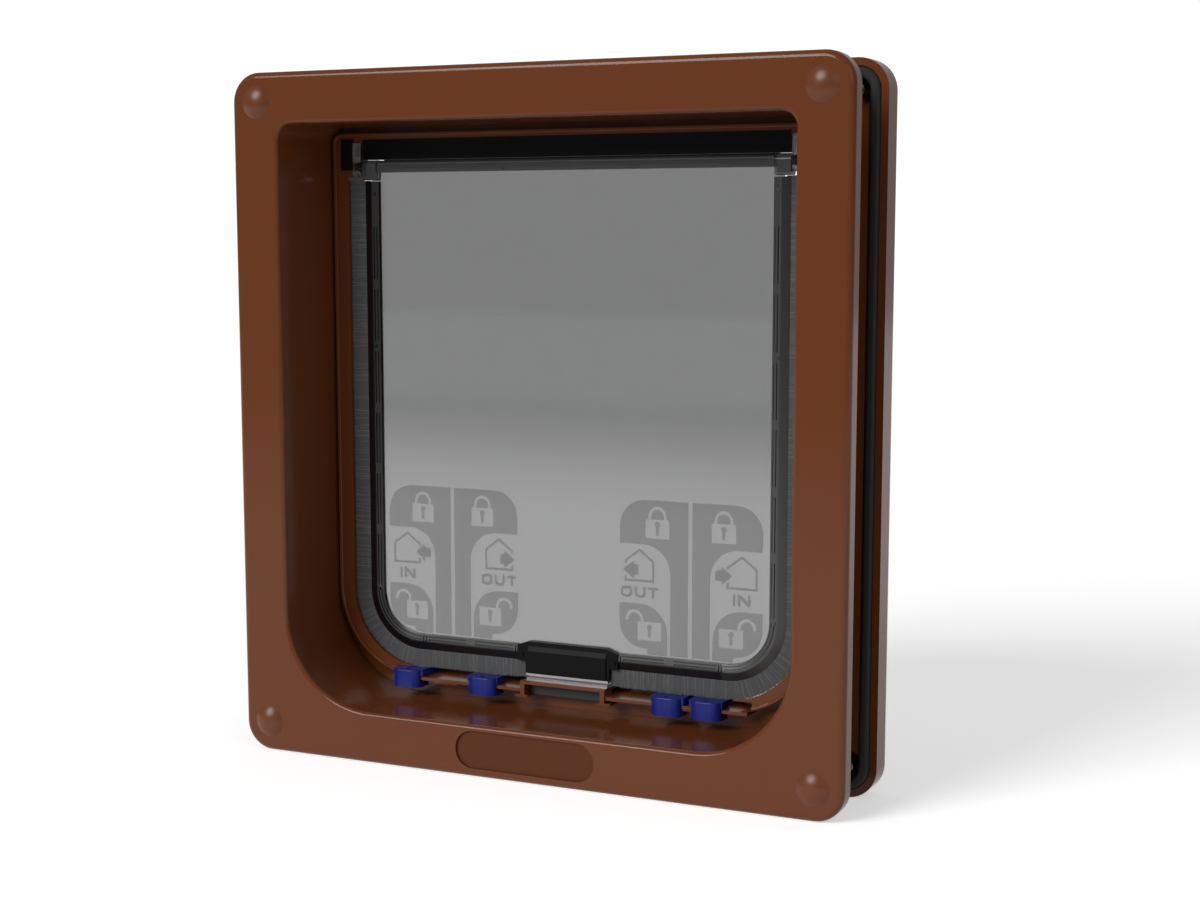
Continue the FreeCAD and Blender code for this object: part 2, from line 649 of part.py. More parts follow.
# Clear panel with an ear and a pivot at each top corner.
def flapPanel():
    body = newBody("flap_panel")
    half = length("windowHalf") + "panelGrip"
    corner = length("windowCorner") + "panelGrip"
    low = windowLow - "panelGrip"
    sketch = frontSketch(body, "PanelOutline", flapDepth - length("panelThick") * 0.5)
    outline(sketch, [(-half, low, corner), (half, low, corner), (half, panelTop), (-half, panelTop)])
    pad(body, sketch, "panelThick")
    ear = length("earRadius")
    low = hingeHigh - "earDrop"
    top = hingeHigh + ear
    for side in (-1, 1):
        sketch = sideSketch(body, "EarProfile", earStart * side, flapDepth)
        outline(sketch, [(-ear, low, ear * 0.4), (ear, low, ear * 0.4), (ear, top, ear * 0.9), (-ear, top, ear * 0.9)])
        pad(body, sketch, "earThick", forward=side > 0)
        sketch = sideSketch(body, "PinCircle", earEnd * side, flapDepth)
        circle(sketch, 0, hingeHigh, "pinRadius")
        pad(body, sketch, pinEnd - earEnd, forward=side > 0)


def trimProfile():
    # Channel that grips the panel inside and the brush outside: out from the window, then through.
    outer = length("trimHalfDepth")
    panel = length("panelThick") * 0.5 + "gripPlay"
    pile = length("brushThick") * 0.5 + "gripPlay"
    grip = length("panelGrip") + "gripPlay"
    seat = length("trimWide") - "brushGrip"
    front = [(0, outer - "trimBevel"), ("trimRidge", outer, "trimRidgeRound"), ("trimWide", outer - "trimDrop"),
             ("trimWide", pile), (seat, pile)]
    back = [(u, -v) + tuple(rest) for u, v, *rest in reversed(front)]
    return [(0, panel)] + front + back + [(0, -panel), (grip, -panel), (grip, panel)]


def flapPath(body, top, end, side):
    # Edge of the window from near the hinge, down and round the bottom corner.
    sketch = frontSketch(body, "EdgePath", flapDepth)
    half = length("windowHalf") * side
    outline(sketch, [(half, top), (half, windowLow, "windowCorner"), (end, windowLow)], closed=False)
    return sketch


def sweep(body, profile, path):
    feature = body.newObject("PartDesign::AdditivePipe", "Sweep")
    feature.Profile = profile
    feature.Spine = path


# Edge moulding down one side and round the bottom corner, with its slits and pips.
def sideTrim(label, side):
    body = newBody(label)
    profile = planSketch(body, "TrimProfile", trimTop, flapDepth)
    outline(profile, [((length("windowHalf") + u) * side, v) + tuple(rest) for u, v, *rest in trimProfile()])
    sweep(body, profile, flapPath(body, trimTop, splitAcross * side, side))
    sketch = frontSketch(body, "SlitOutlines", trimFront - 1)
    first = length("windowHalf") + "slitInset"
    for near in (first, first + "slitApart"):
        for step in range(SLITS):
            low = cornerTop + length("slitPitch") * step + "slitGap"
            high = cornerTop + length("slitPitch") * (step + 1) - "slitGap"
            sideBox(sketch, near, near + "slitWide", low, high, side)
    end = splitAcross + "slitEnd"
    for inset in (length("slitInset"), length("slitInset") + "slitApart"):
        cornerSlit(sketch, inset, end, side)
    low = windowLow - "slitInset" - "slitCross"
    sideBox(sketch, splitAcross + "trimJoint", splitAcross + "trimJoint" + "slitWide", low, windowLow - "slitInset", side)
    pocket(body, sketch, length("slitDepth") + 1)
    sketch = frontSketch(body, "PipCircles", trimFront + "trimBevel" - "pipHigh")
    across = (length("windowHalf") + "pipAcross") * side
    for high in (cornerTop, cornerTop + length("slitPitch") * 4, trimTop - "pipInset"):
        circle(sketch, across, high, "pipRadius")
    pad(body, sketch, length("pipHigh") + "pipRoot")


def cornerSlit(sketch, inset, end, side):
    # Narrow band round the bottom corner, at one distance from the window.
    near = length("windowHalf") + inset
    far = near + "slitWide"
    top = cornerTop + "trimJoint"
    low = windowLow - inset
    radius = length("windowCorner") + inset
    points = [(far, top), (far, low - "slitWide", radius + "slitWide"), (end, low - "slitWide"), (end, low),
              (near, low, radius), (near, top)]
    outline(sketch, [(length(x) * side, z) + tuple(rest) for x, z, *rest in points])


def bottomTrim(label, side):
    body = newBody(label)
    start = splitAcross - "trimJoint"
    end = length("shoulderHalf") + "trimJoint"
    sketch = sideSketch(body, "TrimProfile", start * side, flapDepth)
    outline(sketch, [(v, windowLow - u) + tuple(rest) for u, v, *rest in trimProfile()])
    pad(body, sketch, start - end, forward=side < 0)
    sketch = frontSketch(body, "SlitOutlines", trimFront - 1)
    middle = (start + end) * 0.5
    first = windowLow - "slitInset" - "slitWide"
    for high in (first, first - "slitApart"):
        for near, far in ((end + "slitMargin", middle - length("slitGap")), (middle + "slitGap", start - "slitMargin")):
            sideBox(sketch, near, far, high, high + "slitWide", side)
    low = windowLow - "slitInset" - "slitCross"
    for near in (end + "trimBevel", start - "trimBevel" - "slitWide"):
        sideBox(sketch, near, near + "slitWide", low, windowLow - "slitInset", side)
    pocket(body, sketch, length("slitDepth") + 1)


def topTrim():
    body = newBody("trim_top")
    sketch = sideSketch(body, "BarProfile", 0, flapDepth)
    outer = length("trimHalfDepth")
    grip = length("panelThick") * 0.5 + "gripPlay"
    top = panelTop + "gripPlay"
    outline(sketch, [(-outer, windowHigh), (-grip, windowHigh), (-grip, top), (grip, top), (grip, windowHigh),
                     (outer, windowHigh), (outer, barTop, "barRound"), (-outer, barTop, "barRound")])
    pad(body, sketch, barHalf * 2, both=True)
    sketch = frontSketch(body, "Nubs", trimFront - "nubProud")
    for side in (-1, 1):
        sideBox(sketch, length("nubAcross") - "nubHalf", length("nubAcross") + "nubHalf",
                windowHigh, windowHigh + "nubHigh", side)
    pad(body, sketch, length("nubProud") * 2)
    sketch = frontSketch(body, "BarLines", trimFront)
    half = barHalf - "barLineInset"
    for low in (windowHigh + "barLineHigh", windowHigh + length("barLineHigh") * 1.6):
        box(sketch, -half, half, low, low + "barLineWide")
    pocket(body, sketch, "barLineDepth")


def brush(label, side):
    body = newBody(label)
    low = windowHigh - "brushLow"
    profile = planSketch(body, "BrushProfile", low, flapDepth)
    half = length("brushThick") * 0.5
    edge = length("windowHalf") + "trimWide"
    sideBox(profile, edge - "brushGrip" + "gripPlay", edge + "brushWide", -half, half, side)
    sweep(body, profile, flapPath(body, low, (length("holderHalf") + "trimJoint") * side, side))


# Holder for the magnet at the bottom edge of the flap.
def magnetHolder():
    body = newBody("magnet_holder")
    front = trimFront - "shoulderProud"
    sketch = frontSketch(body, "ShoulderOutline", front)
    right = [("holderHalf", holderLow), ("holderHalf", trimFoot), ("shoulderHalf", trimFoot),
             ("shoulderHalf", windowLow - "shoulderDrop"), ("holderTopHalf", holderTop)]
    outline(sketch, right + [(-length(x), z) for x, z in reversed(right)])
    pad(body, sketch, (length("trimHalfDepth") + "shoulderProud") * 2)
    sketch = sideSketch(body, "BlockProfile", 0, flapDepth)
    half = length("holderHalfDepth")
    bevel = holderTop - "holderBevelHigh"
    crest = half - "holderBevelDepth"
    outline(sketch, [(-half, holderLow), (half, holderLow), (half, bevel), (crest, holderTop),
                     (-crest, holderTop), (-half, bevel)])
    pad(body, sketch, length("holderTopHalf") * 2, both=True)
    sketch = frontSketch(body, "Studs", front - "studProud")
    for side in (-1, 1):
        circle(sketch, length("studAcross") * side, windowLow - "studDrop", "studRadius")
    pad(body, sketch, length("studProud") * 2)
    sketch = frontSketch(body, "PanelSlot", flapDepth - length("panelThick") * 0.5 - "gripPlay")
    half = length("shoulderHalf") + 1
    box(sketch, -half, half, windowLow - "panelGrip" - "gripPlay", holderTop + 1)
    pocket(body, sketch, length("panelThick") + length("gripPlay") * 2)
    sketch = frontSketch(body, "BrushSlots", flapDepth - length("brushThick") * 0.5 - "gripPlay")
    for side in (-1, 1):
        sideBox(sketch, "holderHalf", half, trimFoot - 1, trimFoot + "brushGrip", side)
    pocket(body, sketch, length("brushThick") + length("gripPlay") * 2)


def plainBlock(label, half, front, thick, low, high):
    body = newBody(label)
    sketch = planSketch(body, "BlockOutline", low, front)
    half = length(half)
    box(sketch, -half, half, 0, thick)
    pad(body, sketch, length(high) - low, forward=True)


# Locking slider: knob in front of the ledge, lip below it, top plate and stem above it.
def slider(label, centre, side):
    body = newBody(label)
    half = length("knobHalf")
    corner = length("knobCorner")
    knobTop = ledgeTop + "knobOver"
    sketch = planSketch(body, "KnobOutline", ledgeLow - "knobUnder", knobFront)
    outline(sketch, [(-half, 0, corner), (half, 0, corner), (half, "knobDeep"), (-half, "knobDeep")])
    last = pad(body, sketch, knobTop - ledgeLow + "knobUnder", forward=True)
    high = knobTop.value
    fillet(body, last, lambda edge: edge.BoundBox.ZMin > high - 0.01
           and middleOf(edge).y < deep(knobFront + "knobDeep").value - 0.01, "knobRound")
    sketch = planSketch(body, "TopOutline", ledgeTop + "knobPlay", knobFront)
    box(sketch, -half, half, "knobWall", "knobTopDeep")
    pad(body, sketch, knobTop - ledgeTop - "knobPlay", forward=True)
    sketch = sideSketch(body, "LedgeSlot", half + 1, knobFront)
    box(sketch, "knobWall", length("knobTopDeep") + 1, tabLow - "knobPlay", ledgeTop + "knobPlay")
    pocket(body, sketch, half * 2 + 2)
    sketch = planSketch(body, "StemOutline", ledgeTop + "knobPlay", knobFront)
    inner = (half + "stemOver") * side
    outer = (half + "stemOver" - "stemWide") * side
    left, right = (outer, inner) if side > 0 else (inner, outer)
    box(sketch, left, right, "knobWall", railEnd - "stemShort" - knobFront)
    pad(body, sketch, knobTop - ledgeTop - "knobPlay", forward=True)
    sketch = planSketch(body, "ArrowMark", knobTop, knobFront)
    base = length("knobMarkIn")
    tip = base + "knobMarkLong"
    outline(sketch, [(-length("knobMarkHalf"), tip), (0, base), ("knobMarkHalf", tip)])
    pocket(body, sketch, "knobMarkDepth")
    place(body, centre, 0)


frontFrame()
rearFrame()
lockRail()
doorGasket()
for number, (x, z) in enumerate(screwPlaces(), 1):
    screwCap("screw_cap_%d" % number, x, z)
    fixingScrew("fixing_screw_%d" % number, x, z)
hingeClip("hinge_clip_left", -1)
hingeClip("hinge_clip_right", 1)
draughtStrip()
flapPanel()
sideTrim("trim_left", -1)
sideTrim("trim_right", 1)
bottomTrim("trim_bottom_left", -1)
bottomTrim("trim_bottom_right", 1)
topTrim()
brush("brush_left", -1)
brush("brush_right", 1)
magnetHolder()
plainBlock("flap_magnet", "magnetHalf", flapDepth - "magnetHalfDepth", length("magnetHalfDepth") * 2,
           magnetLow, holderLow)
plainBlock("strike_plate", "strikeHalf", strikeFront, "strikeDeep", bracketTop, strikeTop)
plainBlock("frame_magnet", length("bracketHalf") - "bracketWall" - "clipWallPlay", blockFront, "blockDeep",
           blockLow, plateLow)
slider("slider_in_left", -pairCentre - openOffset, 1)
slider("slider_out_left", -pairCentre + openOffset, -1)
slider("slider_out_right", pairCentre - "lockedOffset", 1)
slider("slider_in_right", pairCentre + "lockedOffset", -1)
doc.recompute()

# Every object is checked before anything is written.
for item in doc.Objects:
    for state in item.State:
        if state in ("Invalid", "Error"):
            raise RuntimeError("%s is %s" % (item.Label, state))
bodies = [item for item in doc.Objects if item.TypeId == "PartDesign::Body"]
for body in bodies:
    if body.Shape.isNull() or not body.Shape.isValid():
        raise RuntimeError("%s has no valid shape" % body.Label)
    if len(body.Shape.Solids) != 1:
        raise RuntimeError("%s has %d solids" % (body.Label, len(body.Shape.Solids)))
os.makedirs("parts", exist_ok=True)
for body in bodies:
    body.Shape.exportStep("parts/%s.step" % body.Label)
print("written", len(bodies), "pieces")
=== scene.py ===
import math

import bpy
import numpy as np
from mathutils import Matrix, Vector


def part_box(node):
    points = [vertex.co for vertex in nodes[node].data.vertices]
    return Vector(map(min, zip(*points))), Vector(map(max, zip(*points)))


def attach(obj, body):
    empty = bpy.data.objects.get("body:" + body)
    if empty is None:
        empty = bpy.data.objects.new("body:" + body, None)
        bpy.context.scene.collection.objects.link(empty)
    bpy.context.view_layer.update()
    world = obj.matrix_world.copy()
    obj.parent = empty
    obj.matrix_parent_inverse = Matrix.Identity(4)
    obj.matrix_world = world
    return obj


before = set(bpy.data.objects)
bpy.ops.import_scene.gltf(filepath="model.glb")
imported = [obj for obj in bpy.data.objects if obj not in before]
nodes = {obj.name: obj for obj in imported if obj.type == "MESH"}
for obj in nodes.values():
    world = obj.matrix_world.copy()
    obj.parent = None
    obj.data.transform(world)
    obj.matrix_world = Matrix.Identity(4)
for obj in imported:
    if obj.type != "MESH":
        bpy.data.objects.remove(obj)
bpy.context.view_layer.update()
mm = 0.001
sides = {"left": -1, "right": 1}
print("frame loaded:", len(nodes), "nodes")


# colours are given as the eye sees them (sRGB) and turned into linear light
def linear(red, green, blue):
    seen = np.array([red, green, blue]) / 255
    light = np.where(seen <= 0.04045, seen / 12.92, ((seen + 0.055) / 1.055) ** 2.4)
    return (*[float(part) for part in light], 1.0)


# a shader with its constants set on the sockets themselves
def shader(name, color, rough, **sockets):
    material = bpy.data.materials.new(name)
    material.use_nodes = True
    surface = material.node_tree.nodes["Principled BSDF"]
    surface.inputs["Base Color"].default_value = color
    surface.inputs["Roughness"].default_value = rough
    for socket, value in sockets.items():
        surface.inputs[socket.replace("_", " ")].default_value = value
    return material


# noise in object coordinates: size is the width of one grain
def grain(material, size, detail=3.0):
    tree = material.node_tree
    place = tree.nodes.new("ShaderNodeTexCoord")
    noise = tree.nodes.new("ShaderNodeTexNoise")
    noise.inputs["Scale"].default_value = 1 / size
    noise.inputs["Detail"].default_value = detail
    tree.links.new(place.outputs["Object"], noise.inputs["Vector"])
    return noise.outputs["Fac"]


# surface height from a noise, given as its depth
def roughen(material, height, depth, strength=0.4):
    tree = material.node_tree
    bump = tree.nodes.new("ShaderNodeBump")
    bump.inputs["Strength"].default_value = strength
    bump.inputs["Distance"].default_value = depth
    tree.links.new(height, bump.inputs["Height"])
    tree.links.new(bump.outputs["Normal"], tree.nodes["Principled BSDF"].inputs["Normal"])


# colour runs between two shades with the noise
def tint(material, noise, first, second):
    tree = material.node_tree
    mix = tree.nodes.new("ShaderNodeMix")
    mix.data_type = "RGBA"
    mix.inputs[6].default_value = first
    mix.inputs[7].default_value = second
    tree.links.new(noise, mix.inputs[0])
    tree.links.new(mix.outputs[2], tree.nodes["Principled BSDF"].inputs["Base Color"])


# finishes of the solid stuffs: two shades, the gloss, the width of the clouds between the shades
brown = {"dark": linear(103, 55, 30), "light": linear(106, 58, 32), "rough": 0.14, "grain": 40 * mm}
black = {"dark": linear(9, 9, 9), "light": linear(12, 12, 12), "rough": 0.3, "grain": 10 * mm}
# the right trim is the same black plastic as the other trims, made lighter and glossier here: painted sheen
# where it catches more light
litBlack = {"dark": linear(26, 26, 26), "light": linear(30, 30, 30), "rough": 0.3, "grain": 10 * mm}
grey = {"dark": linear(68, 69, 70), "light": linear(75, 76, 77), "rough": 0.35, "grain": 10 * mm}
seal = {"dark": linear(8, 8, 8), "light": linear(12, 12, 12), "rough": 0.45, "grain": 10 * mm}
blue = {"dark": linear(20, 32, 112), "light": linear(23, 36, 120), "rough": 0.28, "grain": 6 * mm}
rubber = {"dark": linear(18, 18, 18), "light": linear(28, 28, 28), "rough": 0.75, "grain": 6 * mm}
steel = {"dark": linear(150, 149, 150), "light": linear(168, 167, 168), "rough": 0.22, "grain": 5 * mm}
magnet = {"dark": linear(36, 34, 36), "light": linear(50, 47, 49), "rough": 0.5, "grain": 4 * mm}
pile = {"dark": linear(78, 79, 80), "light": linear(98, 99, 101), "rough": 0.8, "grain": 0.7 * mm}
pileDeep = {"dark": linear(62, 63, 64), "light": linear(78, 79, 80), "rough": 0.8, "grain": 0.7 * mm}
cap = {**brown, "rough": 0.3}
# floor of the label recess, darker than the brown around it: painted shade standing in for the shade of its
# embossed lettering, which is not modelled
recessShade = {"dark": linear(86, 47, 27), "light": linear(91, 51, 30), "rough": 0.5, "grain": 2 * mm}
skin = {"grain": 0.5 * mm, "detail": 4.0, "depth": 0.004 * mm}


# moulded or rolled stuff: two shades and a fine skin
def stuff(name, look, depth=skin["depth"], **sockets):
    material = shader(name, look["dark"], look["rough"], **sockets)
    tint(material, grain(material, look["grain"]), look["dark"], look["light"])
    roughen(material, grain(material, skin["grain"], skin["detail"]), depth)
    return material


brownPlastic = stuff("brownPlastic", brown, IOR=1.5, Specular_IOR_Level=0.22)
blackPlastic = stuff("blackPlastic", black, IOR=1.5, Specular_IOR_Level=0.6)
# painted sheen: a lighter copy of the black trim plastic, for the right trim only
litBlackPlastic = stuff("litBlackPlastic", litBlack, IOR=1.5, Specular_IOR_Level=1.0)
greyPlastic = stuff("greyPlastic", grey, IOR=1.5, Specular_IOR_Level=0.3)
sealPlastic = stuff("sealPlastic", seal, IOR=1.5, Specular_IOR_Level=0.12)
bluePlastic = stuff("bluePlastic", blue, IOR=1.5, Specular_IOR_Level=0.25)
softRubber = stuff("softRubber", rubber, 0.1 * mm)
brightSteel = stuff("brightSteel", steel, Metallic=1.0)
darkMagnet = stuff("darkMagnet", magnet, 0.03 * mm)
brushPile = stuff("brushPile", pile)
brushDeep = stuff("brushDeep", pileDeep)
capPlastic = stuff("capPlastic", cap, IOR=1.5, Specular_IOR_Level=0.3)
# painted shade: the darker brown for the floor of the label recess
recessShadePlastic = stuff("recessShadePlastic", recessShade, 0.02 * mm, Specular_IOR_Level=0.12)

# finishes that light goes through
smoked = {"tint": (0.156, 0.157, 0.158, 1), "rough": 0.05}
clear = {"tint": linear(48, 47, 46), "rough": 0.06}
ear = {"tint": linear(70, 70, 70), "rough": 0.2}
panelPlastic = shader("panelPlastic", smoked["tint"], smoked["rough"], IOR=1.59, Specular_IOR_Level=1.0,
                      Coat_Weight=1.0, Coat_Roughness=0.03, Coat_IOR=1.85, Transmission_Weight=1.0)
clipPlastic = shader("clipPlastic", clear["tint"], clear["rough"], IOR=1.49, Specular_IOR_Level=0.8,
                     Transmission_Weight=0.75, Alpha=0.8)
earPlastic = shader("earPlastic", ear["tint"], ear["rough"], IOR=1.5, Transmission_Weight=0.5)

wears = {
    brownPlastic: ["front_frame", "rear_frame", "lock_rail"],
    capPlastic: ["screw_cap_1", "screw_cap_2", "screw_cap_3", "screw_cap_4"],
    blackPlastic: ["trim_left", "trim_bottom_left", "trim_bottom_right"],
    # the right trim wears the lighter copy, its painted sheen
    litBlackPlastic: ["trim_right"],
    greyPlastic: ["trim_top"],
    sealPlastic: ["draught_strip", "magnet_holder"],
    bluePlastic: ["slider_in_left", "slider_out_left", "slider_out_right", "slider_in_right"],
    softRubber: ["door_gasket"],
    brightSteel: ["strike_plate", "flap_magnet",
                  "fixing_screw_1", "fixing_screw_2", "fixing_screw_3", "fixing_screw_4"],
    darkMagnet: ["frame_magnet"],
    brushDeep: ["brush_left", "brush_right"],
    panelPlastic: ["flap_panel"],
    clipPlastic: ["hinge_clip_left", "hinge_clip_right"],
}
for material, names in wears.items():
    for name in names:
        slots = nodes[name].data.materials
        slots.clear()
        slots.append(material)
print("materials on", sum(len(names) for names in wears.values()), "nodes")

# parts of a node with a material of their own, as boxes in mm: the panel's ears, and the floor of the label
# recess darkened as painted shade
patches = [
    {"node": "flap_panel", "finishOrShade": earPlastic, "low": (-80, 0, 178), "high": (-66.45, 30, 195)},
    {"node": "flap_panel", "finishOrShade": earPlastic, "low": (66.45, 0, 178), "high": (80, 30, 195)},
    # the floor of the label recess gets the darker brown of painted shade
    {"node": "front_frame", "finishOrShade": recessShadePlastic, "low": (-60, -18.45, 1.8), "high": (60, -17.6, 14.4)},
]


# another material on the faces whose middle lies in the box, for a finish or for painted shade
def paintBox(patch):
    mesh = nodes[patch["node"]].data
    finishOrShade = patch["finishOrShade"]
    if finishOrShade.name not in mesh.materials:
        mesh.materials.append(finishOrShade)
    middles = np.zeros(len(mesh.polygons) * 3)
    mesh.polygons.foreach_get("center", middles)
    middles = middles.reshape(-1, 3) / mm
    chosen = np.all((middles > patch["low"]) & (middles < patch["high"]), axis=1)
    indexes = np.zeros(len(mesh.polygons), np.int32)
    mesh.polygons.foreach_get("material_index", indexes)
    indexes[chosen] = mesh.materials.find(finishOrShade.name)
    mesh.polygons.foreach_set("material_index", indexes)
    return int(chosen.sum())


print("faces with a finish of their own:", [paintBox(patch) for patch in patches])


# a finished mesh becomes a piece of the scene that rides a body, at the origin with its place in its mesh
def addPiece(name, mesh, body):
    made = bpy.data.objects.new(name, mesh)
    bpy.context.scene.collection.objects.link(made)
    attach(made, body)


# Window of the flap and hairs of its brush, in mm. root and tip are measured outward from the window's edge,
# ragged is how much shorter a hair may be, deep is the share of clumps in the darker shade.
window = {"half": 66.2, "low": 35.6, "top": 178.7, "corner": 13.5, "depth": 12.2}
hair = {"root": 4.9, "tip": 10.76, "ragged": 0.08, "pitch": 0.2, "thick": 0.13, "taper": 0.85, "layer": 0.6,
        "nearest": 0.6, "lean": 0.5, "clump": 2, "deep": 0.4, "holderGap": 0.6, "seed": 7}
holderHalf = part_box("magnet_holder")[1][0] / mm


# Three-sided hairs in two layers, thinner at the tip. Their path runs down the window's side, round its
# corner and along the foot. At the length s the outward way has turned by (s - down) / middle radius, held
# between 0 and a quarter turn. A hair goes from edge + outward * root to edge + outward * tip, and its tip
# is moved along the path by a chance lean. Each end is three points, a third of a turn apart.
def brushHairs(name, side):
    chance = np.random.default_rng(hair["seed"])
    down = window["top"] - window["low"] - window["corner"]
    middle = window["corner"] + (hair["root"] + hair["tip"]) / 2
    bend = middle * math.pi / 2
    run = window["half"] - window["corner"] - holderHalf - hair["holderGap"]
    along = np.arange(0, down + bend + run, hair["pitch"] / 2)
    count = len(along)
    angle = np.clip((along - down) / middle, 0, math.pi / 2)
    out = np.column_stack([np.cos(angle), np.zeros(count), -np.sin(angle)])
    way = np.column_stack([-np.sin(angle), np.zeros(count), -np.cos(angle)])
    centre = np.array([window["half"] - window["corner"], 0, window["low"] + window["corner"]])
    before = np.clip(down - along, 0, None)
    after = np.clip(along - down - bend, 0, None)
    base = centre + out * window["corner"] - way * before[:, None] + way * after[:, None]
    front = np.where(np.arange(count) % 2 == 0, -1, 1)
    base[:, 1] = window["depth"] + front * hair["layer"] * chance.uniform(hair["nearest"], 1, count)
    lean = chance.normal(0, hair["lean"] / 2, count)
    reach = hair["tip"] - chance.uniform(0, hair["ragged"], count)
    root = base + out * hair["root"]
    tip = base + out * reach[:, None] + way * lean[:, None]
    turn = np.radians([90, 210, 330])[:, None]
    around = (way[:, None] * np.cos(turn) + np.array([0, 1, 0]) * np.sin(turn)) * hair["thick"]
    spots = np.concatenate([root[:, None] + around, tip[:, None] + around * hair["taper"]], axis=1)
    spots = spots.reshape(-1, 3) * (side * mm, mm, mm)
    first = 6 * np.arange(count)[:, None, None]
    walls = (np.array([(0, 1, 4, 3), (1, 2, 5, 4), (2, 0, 3, 5)]) + first).reshape(-1, 4)
    ends = (np.array([(0, 2, 1), (3, 4, 5)]) + first).reshape(-1, 3)
    if side < 0:  # the mirrored side turns its faces round again
        walls, ends = walls[:, ::-1], ends[:, ::-1]
    mesh = bpy.data.meshes.new(name)
    mesh.from_pydata(spots.tolist(), [], walls.tolist() + ends.tolist())
    mesh.materials.append(brushPile)
    mesh.materials.append(brushDeep)
    clumps = chance.random(count // hair["clump"] + 1) < hair["deep"]
    shade = np.repeat(clumps, hair["clump"])[:count]
    shades = np.concatenate([np.repeat(shade, 3), np.repeat(shade, 2)])
    mesh.polygons.foreach_set("material_index", shades.astype(np.int32))
    addPiece(name, mesh, "flap")


for sideName, side in sides.items():
    brushHairs("brushHairs_" + sideName, side)
print("brush hairs made")

# web of the rail behind the sliders' stems, in mm: pair is its middle, from the middle of the flap
web = {"pair": 41.6, "half": 14.35, "low": 22.52, "high": 24.65, "front": 19.45, "back": 19.95}


# box: its eight corners are every choice of the low or the high value across, in depth and up
def railWeb(name, side):
    across = sorted((side * (web["pair"] - web["half"]), side * (web["pair"] + web["half"])))
    depths, heights = (web["front"], web["back"]), (web["low"], web["high"])
    spots = [(x, y, z) for z in heights for y in depths for x in across]
    faces = [(0, 2, 3, 1), (4, 5, 7, 6), (0, 1, 5, 4), (2, 6, 7, 3), (0, 4, 6, 2), (1, 3, 7, 5)]
    mesh = bpy.data.meshes.new(name)
    mesh.from_pydata((np.array(spots) * mm).tolist(), [], faces)
    mesh.materials.append(brownPlastic)
    addPiece(name, mesh, "frame")


for sideName, side in sides.items():
    railWeb("railWeb_" + sideName, side)
print("rail webs made")

# print on the front of the flap panel, in mm: proud is how far it stands in front of the panel's face,
# pair is the middle line of two columns, cover is how much of the panel each ink hides
printing = {"panelHalf": 0.9, "proud": 0.03, "pair": 40.75, "color": linear(34, 34, 36), "rough": 0.1,
            "cover": {"field": 0.52, "line": 0.72}}
inks = {}
for inkName, cover in printing["cover"].items():
    inks[inkName] = shader(inkName + "Ink", printing["color"], printing["rough"], Alpha=cover, IOR=1.59,
                           Specular_IOR_Level=1.0, Coat_Weight=1.0, Coat_Roughness=0.05, Coat_IOR=1.85)


# one closed curve from points (across, up)
def ring(curve, points):
    spline = curve.splines.new("POLY")
    spline.points.add(len(points) - 1)
    flat = np.column_stack([points, np.zeros(len(points)), np.ones(len(points))])
    spline.points.foreach_set("co", flat.ravel())
    spline.use_cyclic_u = True


# Outline from corners (across, up, radius). Each arc touches both its sides at radius / tan(half the corner)
# from the corner, and its middle lies at radius / sin(half the corner) on the line that halves the corner.
def rounded(corners, steps=8):
    spots = np.array([corner[:2] for corner in corners], float)
    out = []
    for i, corner in enumerate(corners):
        radius = corner[2] if len(corner) > 2 else 0
        if radius == 0:
            out.append(spots[i][None])
            continue
        toBefore = spots[i - 1] - spots[i]
        toAfter = spots[(i + 1) % len(spots)] - spots[i]
        toBefore = toBefore / np.linalg.norm(toBefore)
        toAfter = toAfter / np.linalg.norm(toAfter)
        halving = (toBefore + toAfter) / np.linalg.norm(toBefore + toAfter)
        half = math.acos(np.clip(toBefore @ toAfter, -1, 1)) / 2
        start = spots[i] + toBefore * radius / math.tan(half)
        middle = spots[i] + halving * radius / math.sin(half)
        first = math.atan2(*(start - middle)[::-1])
        turn = (2 * half - math.pi) * np.sign(toBefore[0] * toAfter[1] - toBefore[1] * toAfter[0])
        angles = first + turn * np.linspace(0, 1, steps)
        out.append(middle + radius * np.column_stack([np.cos(angles), np.sin(angles)]))
    return np.vstack(out)


# arc of a band: out at radius + half its width, back at radius - half its width, with straight legs down
def arch(across, up, radius, width, first, last, legs=0, steps=14):
    angles = np.radians(np.linspace(first, last, steps))
    way = np.column_stack([np.cos(angles), np.sin(angles)])
    outer = (radius + width / 2) * way
    inner = (radius - width / 2) * way[::-1]
    if legs:
        outer = np.vstack([outer[0] + (0, -legs), outer, outer[-1] + (0, -legs)])
        inner = np.vstack([inner[0] + (0, -legs), inner, inner[-1] + (0, -legs)])
    return np.vstack([outer, inner]) + (across, up)


# a line given a width: each point moves half of it to both sides, farther at a bend so that the sides meet
def stroke(points, width):
    points = np.array(points, float)
    run = np.diff(points, axis=0)
    run = run / np.linalg.norm(run, axis=1)[:, None]
    normal = np.column_stack([-run[:, 1], run[:, 0]])
    joint = np.vstack([normal[:1], normal[:-1] + normal[1:], normal[-1:]])
    joint = joint / np.linalg.norm(joint, axis=1)[:, None]
    stretch = np.ones(len(points))
    stretch[1:-1] = 1 / np.sum(joint[1:-1] * normal[1:], axis=1)
    reach = joint * stretch[:, None] * width / 2
    return np.vstack([points + reach, (points - reach)[::-1]])


# padlock, in mm from the middle of its body; shut and lifted place the middle of the shackle's arc
lock = {"half": 3.9, "high": 5.8, "shackle": 2.5, "shackleWidth": 0.95, "shut": 0.95, "legs": 0.9,
        "lifted": (1.1, 0.55), "liftedEnd": -10, "liftedFoot": 0.05,
        "keyhole": 0.9, "keyholeUp": 1.3, "keyWidth": 0.5, "keyFoot": -1.9}


